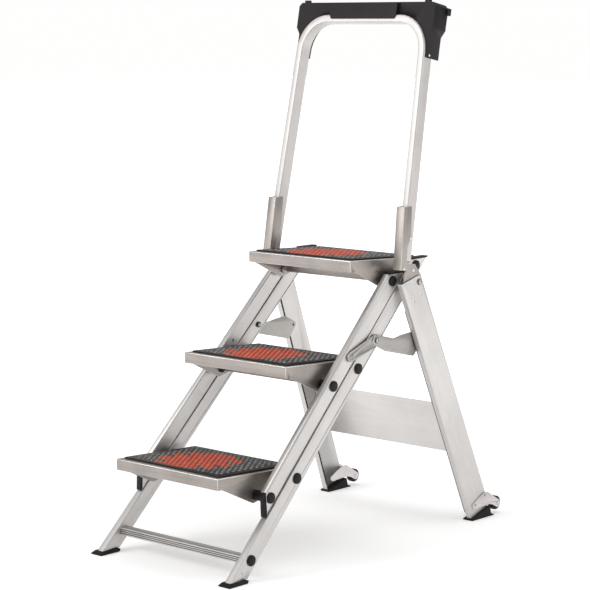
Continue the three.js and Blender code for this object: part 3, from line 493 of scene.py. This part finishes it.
for name, _ in sides("rear_rail"):
    rounded(name, rail_metal, RAIL_RADIUS, 3, 0.2)
for name, side in sides("front_rail"):
    front = (front_corner_test(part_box(name)[0], side), FRONT_RADIUS, 5)
    rounded(name, rail_metal, RAIL_RADIUS, 3, 0.2, wide=front)
crossbar = rounded("bottom_crossbar", crossbar_metal, 0.0005, 2, 0.2)
# The crossbar's faces deep in its grooves take the dark metal: painted shade in the grooves.
crossbar.data.materials.append(groove_shade_and_dark_bolt_metal)
front_of_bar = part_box("bottom_crossbar")[0].y + GROOVE_DEPTH
groove_shade_faces = [face for face in crossbar.data.polygons if face.normal.y < -0.5 and face.center.y > front_of_bar]
for face in groove_shade_faces:
    face.material_index = 1
print("groove faces:", len(groove_shade_faces))

# %% [markdown]
# ## Legs, panel and hand rail
#
# A leg is an angle of sheet with two small holes below the hinge, where a fixture held it while it was
# drilled. Holes could be modelled by hand, but a drill is a cylinder that is taken away, and a Boolean
# does just that. The hand rail's tube has a larger corner radius than the rails, because hands run along
# it.

# %% Legs, panel and hand rail
FIXTURE_HOLES = ((0.005, -0.030), (-0.023, -0.046))     # behind the hinge, and above it
FIXTURE_RADIUS = 0.0029
DRILL_LENGTH = 0.06


def drill(piece, place, radius):
    """Cuts a round hole along X."""
    bpy.ops.object.select_all(action="DESELECT")
    bpy.ops.mesh.primitive_cylinder_add(
        vertices=20, radius=radius, depth=DRILL_LENGTH, location=place, rotation=(0, math.pi / 2, 0))
    bit = bpy.context.active_object
    only(piece)
    hole = piece.modifiers.new("hole", "BOOLEAN")
    hole.operation = "DIFFERENCE"
    hole.solver = "EXACT"
    hole.object = bit
    bpy.ops.object.modifier_apply(modifier=hole.name)
    bpy.data.objects.remove(bit)


for word, _ in SIDES:
    leg = rounded(f"rear_leg_{word}", leg_metal, 0.0009, 2, 0.07)
    hinge = centre(f"hinge_bolt_{word}")
    for behind, above in FIXTURE_HOLES:
        drill(leg, (hinge.x, hinge.y + behind, hinge.z + above), FIXTURE_RADIUS)
rounded("rear_cross_panel", panel_metal, 0.0008, 2, 0.05)
rounded("handle_tube", hoop_metal, 0.0034, 4, 0.008)
print("leg faces:", len(leg.data.polygons))

# %% [markdown]
# ## Treads, braces and brackets
#
# A tread is folded from sheet, so its outer bends have the radius of the press tool, and its cut edges
# only lose their burr. The bevelled faces take a painted highlight. Braces and brackets are thick plate
# with tumbled edges, painted bright the same way.

# %% Sheet parts
STEPS = (1, 2, 3)
TREAD_SLOPE = 0.045              # how far the tread falls towards the rear
TOP_SLACK = 0.002                # how close to the top a bend has to be


def outer_bend_test(low, high):
    """Finds the long edges round a tread's top."""
    def level(point):
        return abs(point.z - (high.z - (point.y - low.y) * TREAD_SLOPE)) < TOP_SLACK

    return lambda a, b, length: length > 0.1 and level(a) and level(b)


for step in STEPS:
    name = f"step_{step}_tread"
    bends = (outer_bend_test(*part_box(name)), 0.0022, 4)
    rounded(name, tread_metal, 0.0008, 2, 0.02, wide=bends, edge_highlight=tread_bend_highlight)
for name, _ in sides("handle_bracket"):
    rounded(name, bracket_metal, 0.0007, 2, 0.012, edge_highlight=rivet_and_edge_highlight_steel)
for name, _ in sides("brace"):
    rounded(name, brace_metal, 0.0006, 2, 0.004, edge_highlight=rivet_and_edge_highlight_steel)
for name, _ in sides("wheel_fork"):
    rounded(name, fork_metal, 0.0005, 2, 0.006)
for name, _ in sides("hinge_bolt"):
    rounded(name, groove_shade_and_dark_bolt_metal, 0.0006, 2, 0.002)

# %% [markdown]
# ## Black parts
#
# Moulded caps, pins and spacers have a radius of about a millimetre on every edge, so that they leave the
# mould. The top tread's front pins end in a bare nut under the tread, so the faces inside the tread take
# its metal.

# %% Caps, pins, wheels, feet and tray
SHEET = 0.0022                   # a little less than the tread's sheet, to find what is inside it
EDGE_RADIUS = {
    "rear_rail_cap": 0.0012,
    "front_rail_top_cap": 0.0012,
    "front_rail_bottom_cap": 0.0009,
    "hinge_spacer": 0.0008,
    "crossbar_bolt": 0.0008,
    "brace_bolt": 0.0006,
    "brace_glide": 0.001,
    "leg_edge_trim": 0.0006,
}
for step in STEPS:
    EDGE_RADIUS[f"step_{step}_front_pin"] = 0.0008
    EDGE_RADIUS[f"step_{step}_rear_pin"] = 0.0008

inside_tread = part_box("step_3_tread")[1].x - SHEET
for stem, width in EDGE_RADIUS.items():
    for name, side in sides(stem):
        piece = rounded(name, cap_black, width, 2, 0.0015)
        if stem == "step_3_front_pin":
            piece.data.materials.append(tread_metal)
            for face in piece.data.polygons:
                face.material_index = int(side * face.center.x < inside_tread)
for name, _ in sides("wheel"):
    rounded(name, wheel_black, 0.0008, 2, 0.0015)
for name, _ in sides("front_foot") + sides("rear_foot"):
    rounded(name, foot_rubber, 0.0016, 3, 0.01)
rounded("handle_tray", tray_black, 0.0008, 2, 0.035)

# %% [markdown]
# ## The mat's two colours
#
# Each mat is one black rubber sheet whose middle is inked orange, as a plain figure with a ragged edge.
# The raised lugs are painted lighter than the sheet between them: partly scuffs, partly painted highlight
# on their tops, and painted shade in the gaps. The orange sits where a test on the distance from the
# mat's middle says so, and each mat needs its own middle, so one function makes all six.

# %% Mat finish
FIGURE = Vector((0.100, 0.100))          # how far the orange reaches from its middle
FIGURE_SHIFT = Vector((-0.012, -0.014))  # its middle, from the mat's
BAND = 0.047                             # from one bar of the figure to the next


def mat_finish(name, middle, raised):
    """Black rubber with an orange figure. Lugs are painted lighter, partly scuffs and partly highlight; the
    sheet between them is painted darker, as shade.
    """
    finish = Finish(name, colour(0.03, 0.028, 0.028), 0.55, gloss=0.5 if raised else 0.3)
    from_x, from_y = finish.x - (middle.x + FIGURE_SHIFT.x), finish.y - (middle.y + FIGURE_SHIFT.y)
    across, along = from_x.size() * (1 / FIGURE.x), from_y.size() * (1 / FIGURE.y)
    ragged = finish.noise(55, 2.0).spread(-0.16, 0.16)
    oval = across ** 2.4 + along ** 2.4 + ragged
    waist = (across + along * 0.45).fade(0.78, 0.72)
    bands = (from_y + from_x * 0.35).wrap(BAND)
    orange = oval.fade(1.0, 0.93) * (waist + bands.fade(0.3, 0.34) > 0.5)
    wear = finish.noise(120, 3.0).fade(0.35, 0.75)
    # Lugs are lighter, partly scuffs and partly painted highlight. The sheet between them is darker, as
    # painted shade in the gaps.
    if raised:
        black = wear.tint(colour(0.055, 0.05, 0.048), colour(0.34, 0.325, 0.32))
        red = wear.tint(colour(0.5, 0.06, 0.025), colour(0.78, 0.15, 0.07))
    else:
        black = wear.tint(colour(0.005, 0.0045, 0.0045), colour(0.016, 0.014, 0.0135))
        red = wear.tint(colour(0.11, 0.014, 0.008), colour(0.42, 0.055, 0.025))
    both = finish.place.node("ShaderNodeMix", {"data_type": "RGBA"}, output=2, i0=orange, i6=black, i7=red)
    finish.feed("Base Color", both)
    finish.feed("Roughness", wear.spread(0.38, 0.62))
    finish.relief(finish.noise(900, 2.0), 0.0001, 0.5)
    return finish.material


print("orange reaches", round(FIGURE.x * 1000), "mm to each side")

# %% [markdown]
# ## Mats and their lugs
#
# The mat's grip comes from rows of small raised lugs, each a flat-topped pyramid. The mould was milled in
# rows, every second row shifted by half a pitch. One lug is modelled with few faces, since there are
# hundreds, and arrays repeat it: first a pair that is shifted, then along a row, then row after row. The
# sheet slopes with the tread, so the finished field is sheared to match.

# %% Mats
LUG = Vector((0.0088, 0.0062, 0.0012))
PITCH = Vector((0.0142, 0.0098))
RIM = 0.011                      # bare edge of the sheet
SINK = 0.0001                    # lugs start this far inside the sheet


def array(piece, count, step):
    """Repeats a piece and applies the repeat."""
    only(piece)
    rows = piece.modifiers.new("rows", "ARRAY")
    rows.count = count
    rows.use_relative_offset = False
    rows.use_constant_offset = True
    rows.constant_offset_displace = step
    bpy.ops.object.modifier_apply(modifier=rows.name)


def lug_field(name, low, high):
    """Rows of lugs, made flat round the mat's middle and then sheared up onto the mat."""
    across = int((high.x - low.x - 2 * RIM - PITCH.x / 2) / PITCH.x)
    along = int((high.y - low.y - 2 * RIM) / PITCH.y / 2)
    first = (low + high) / 2 - Vector(((across - 0.5) * PITCH.x, (2 * along - 1) * PITCH.y, 0)) / 2
    bpy.ops.object.select_all(action="DESELECT")
    bpy.ops.mesh.primitive_plane_add(size=1, location=(first.x, first.y, 0))
    field = bpy.context.active_object
    field.name = name
    field.scale = (LUG.x, LUG.y, 1)
    bpy.ops.object.transform_apply(location=True, rotation=True, scale=True)
    bpy.ops.object.mode_set(mode="EDIT")
    bpy.ops.mesh.select_all(action="SELECT")
    bpy.ops.mesh.extrude_region_move(TRANSFORM_OT_translate={"value": (0, 0, LUG.z)})
    bpy.ops.transform.resize(value=(0.72, 0.6, 1))
    bpy.ops.mesh.select_all(action="SELECT")
    bpy.ops.mesh.normals_make_consistent(inside=False)
    bpy.ops.object.mode_set(mode="OBJECT")
    array(field, 2, (PITCH.x / 2, PITCH.y, 0))
    array(field, across, (PITCH.x, 0, 0))
    array(field, along, (0, 2 * PITCH.y, 0))
    for point in field.data.vertices:
        point.co.z += high.z - SINK - (point.co.y - low.y) * TREAD_SLOPE
    return field


for step in STEPS:
    name = f"step_{step}_mat"
    low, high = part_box(name)
    rounded(name, mat_finish(f"mat_rubber_{step}", centre(name), False), 0.0007, 2, 0.05)
    field = lug_field(f"step_{step}_lugs", low, high)
    field.data.materials.append(mat_finish(f"mat_lug_rubber_{step}", centre(name), True))
    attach(field, f"step_{step}")
print("lugs on each mat:", len(field.data.polygons) // 6)

# %% [markdown]
# ## Heads of bolts, screws and rivets
#
# A head is a turned part. It starts as a disc, and each step of its profile is an extrusion that is then
# drawn in or out, just as a lathe leaves shoulders and a dome. Real heads sit flat on whatever they
# clamp, so each is placed by a ray that is sent sideways at the solid, and takes the direction of the
# surface that the ray meets.

# %% Turned heads
def surface(node, y, z, side, from_inside=False):
    """Where a ray along X, from one side or the middle plane, meets a solid, and the way its face looks."""
    mesh = frame["nodes"][node].data
    corners = [point.co for point in mesh.vertices]
    tree = BVHTree.FromPolygons(corners, [face.vertices for face in mesh.polygons])
    heading = side if from_inside else -side
    hit, normal, _, _ = tree.ray_cast(Vector((0 if from_inside else side, y, z)), Vector((heading, 0, 0)))
    if hit is None:
        raise ValueError(f"nothing of {node} at {y:.4f}, {z:.4f}")
    return hit, (normal if normal.x * heading < 0 else -normal)


def head(name, profile, place, finish, body, facets=20):
    """Builds a head from (radius, height) steps in millimetres, and stands it on a surface."""
    hit, normal = place
    steps = [(radius / 1000, height / 1000) for radius, height in profile]
    bpy.ops.object.select_all(action="DESELECT")
    bpy.ops.mesh.primitive_circle_add(
        vertices=facets, radius=steps[0][0], fill_type="NGON", location=(0, 0, 0))
    piece = bpy.context.active_object
    piece.name = name
    bpy.ops.object.mode_set(mode="EDIT")
    bpy.ops.mesh.select_all(action="SELECT")
    bpy.ops.transform.translate(value=(0, 0, steps[0][1]))
    for (wide_from, low), (wide_to, high) in zip(steps, steps[1:]):
        bpy.ops.mesh.extrude_region_move(TRANSFORM_OT_translate={"value": (0, 0, high - low)})
        bpy.ops.transform.resize(value=(wide_to / wide_from, wide_to / wide_from, 1))
    bpy.ops.mesh.select_all(action="SELECT")
    bpy.ops.mesh.normals_make_consistent(inside=False)
    bpy.ops.object.mode_set(mode="OBJECT")
    bpy.ops.object.shade_smooth_by_angle(angle=math.radians(35))
    piece.matrix_world = Matrix.Translation(hit) @ normal.to_track_quat("Z", "Y").to_matrix().to_4x4()
    bpy.ops.object.transform_apply(location=True, rotation=True, scale=True)
    piece.data.materials.append(finish)
    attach(piece, body)


RIVET = [(4.6, -0.2), (4.6, 0.2), (3.8, 1.1), (2.0, 1.8), (0.7, 2.0)]
SMALL_RIVET = [(3.2, -0.2), (3.2, 0.1), (2.7, 0.8), (1.4, 1.35), (0.5, 1.5)]
SOCKET_BOLT = [(6.6, -0.2), (6.6, 0.1), (6.2, 1.2), (4.8, 2.2), (2.7, 2.4), (2.4, 0.7), (0.6, 0.7)]
PIN_DOME = [(13.1, -2.3), (13.1, -0.2), (12.3, 0.6), (9.5, 1.3), (5.0, 1.7), (1.0, 1.8)]
INNER_DOME = [(5.2, -0.2), (5.2, 0.3), (4.3, 1.3), (2.2, 1.9), (0.7, 2.0)]
print("steps on a socket bolt:", len(SOCKET_BOLT))

# %% [markdown]
# ## Where the heads go
#
# Braces, hinges and forks are riveted before the stool is put together, and their heads follow the plates
# that they hold. Each place is measured from the nearest pin, as on the maker's drawing, so it stays
# right if the frame changes. The black caps of the treads' pins and of the crossbar's bolts get a shallow
# dome first.

# %% Domed caps on the pins
for word, side in SIDES:
    capped = [(f"crossbar_bolt_{word}", "frame")]
    for step in STEPS:
        capped.append((f"step_{step}_front_pin_{word}", "front_rails"))
        capped.append((f"step_{step}_rear_pin_{word}", "frame"))
    for pin, body in capped:
        middle = centre(pin)
        place = surface(pin, middle.y, middle.z, side)
        head(pin + ".dome", PIN_DOME, place, cap_black, body, 24)

# %% Heads on braces, brackets, forks, tray and feet
# Places are given as metres behind and above the nearest pin.
HINGE_PLATE_RIVETS = ((-0.070, 0.039), (-0.018, 0.030))
BRACKET_SCREW = (-0.042, 0.1116)
FORK_RIVETS = ((-0.095, 0.0105), (-0.054, 0.0305))
FOOT_RIVET = (-0.0305, -0.0244)
POST_BASE = Vector((-0.0768, 0.036))
TRAY_RIVET = Vector((0.531, 0.020))         # along the post, and across it

for word, side in SIDES:
    hinge, wheel = centre(f"hinge_bolt_{word}"), centre(f"wheel_{word}")
    brace_pin, foot_bolt = centre(f"brace_bolt_{word}"), centre(f"crossbar_bolt_{word}")
    bracket, brace, fork = f"handle_bracket_{word}", f"brace_bolt_{word}", f"wheel_fork_{word}"

    place = surface(brace, brace_pin.y, brace_pin.z, side)
    head(f"brace_head_{word}", SOCKET_BOLT, place, zinc, f"brace_{word}")
    arm = centre(f"step_2_rear_pin_{word}") - centre(f"step_2_front_pin_{word}")
    place = surface(f"brace_{word}", brace_pin.y - arm.y, brace_pin.z - arm.z, side)
    head(f"brace_stud_head_{word}", RIVET, place, bracket_metal, f"brace_{word}")
    place = surface(brace, brace_pin.y, brace_pin.z, side, from_inside=True)
    head(f"brace_inner_head_{word}", INNER_DOME, place, zinc, f"brace_{word}")
    place = surface(f"hinge_bolt_{word}", hinge.y, hinge.z, side)
    head(f"hinge_head_{word}", SOCKET_BOLT, place, zinc, "frame")
    for number, (behind, above) in enumerate(HINGE_PLATE_RIVETS, 1):
        place = surface(bracket, hinge.y + behind, hinge.z + above, side)
        head(f"bracket_rivet_{number}_{word}", RIVET, place, rivet_and_edge_highlight_steel, "handle")
    place = surface(bracket, hinge.y + BRACKET_SCREW[0], hinge.z + BRACKET_SCREW[1], side)
    head(f"bracket_screw_{word}", RIVET, place, rivet_and_edge_highlight_steel, "handle")
    # Fork rivets take the darker bracket steel, as painted shade round their small heads.
    for number, (behind, above) in enumerate(FORK_RIVETS, 1):
        place = surface(fork, wheel.y + behind, wheel.z + above, side)
        head(f"fork_rivet_{number}_{word}", SMALL_RIVET, place, bracket_metal, "rear_legs")
    place = surface(f"rear_rail_{word}", foot_bolt.y + FOOT_RIVET[0], foot_bolt.z + FOOT_RIVET[1], side)
    head(f"foot_rivet_{word}", SMALL_RIVET, place, zinc, "frame")
    behind = POST_BASE.x + TRAY_RIVET.x * math.sin(POST_LEAN) + TRAY_RIVET.y * math.cos(POST_LEAN)
    above = POST_BASE.y + TRAY_RIVET.x * math.cos(POST_LEAN) - TRAY_RIVET.y * math.sin(POST_LEAN)
    place = surface("handle_tray", hinge.y + behind, hinge.z + above, side)
    head(f"tray_rivet_{word}", SMALL_RIVET, place, rivet_and_edge_highlight_steel, "handle")

# %% [markdown]
# ## Floor
#
# The floor is a wide pale sheet, like a paper backdrop that sweeps away under the stool. Near the stool
# it glows only a faint grey over the lamps' light, so the feet stand in a soft shadow. Further away it
# glows brighter, so that no horizon shows.

# %% Floor
NEAR, FAR = 0.4, 3.2             # metres from the middle where the glow starts and is full

bpy.ops.object.select_all(action="DESELECT")
bpy.ops.mesh.primitive_plane_add(size=60, location=(0, 0, 0))
floor = bpy.context.active_object
floor.name = "studio_floor"
paper = Finish("pale_floor", colour(0.93, 0.93, 0.93), 0.9)
clouds = paper.noise(0.6, 2.0).fade(0.2, 0.8)
paper.feed("Base Color", clouds.tint(colour(0.92, 0.92, 0.92), colour(0.95, 0.95, 0.95)))
# The floor glows, faintly grey near the stool and nearly white far away.
paper.shader.inputs["Emission Strength"].default_value = 1.0
away = paper.place.node("ShaderNodeVectorMath", {"operation": "LENGTH"}, output=1, i0=paper.place)
paper.feed("Emission Color", away.fade(NEAR, FAR).tint(colour(0.26, 0.26, 0.26), colour(0.85, 0.85, 0.85)))
floor.data.materials.append(paper.material)
print("floor laid")
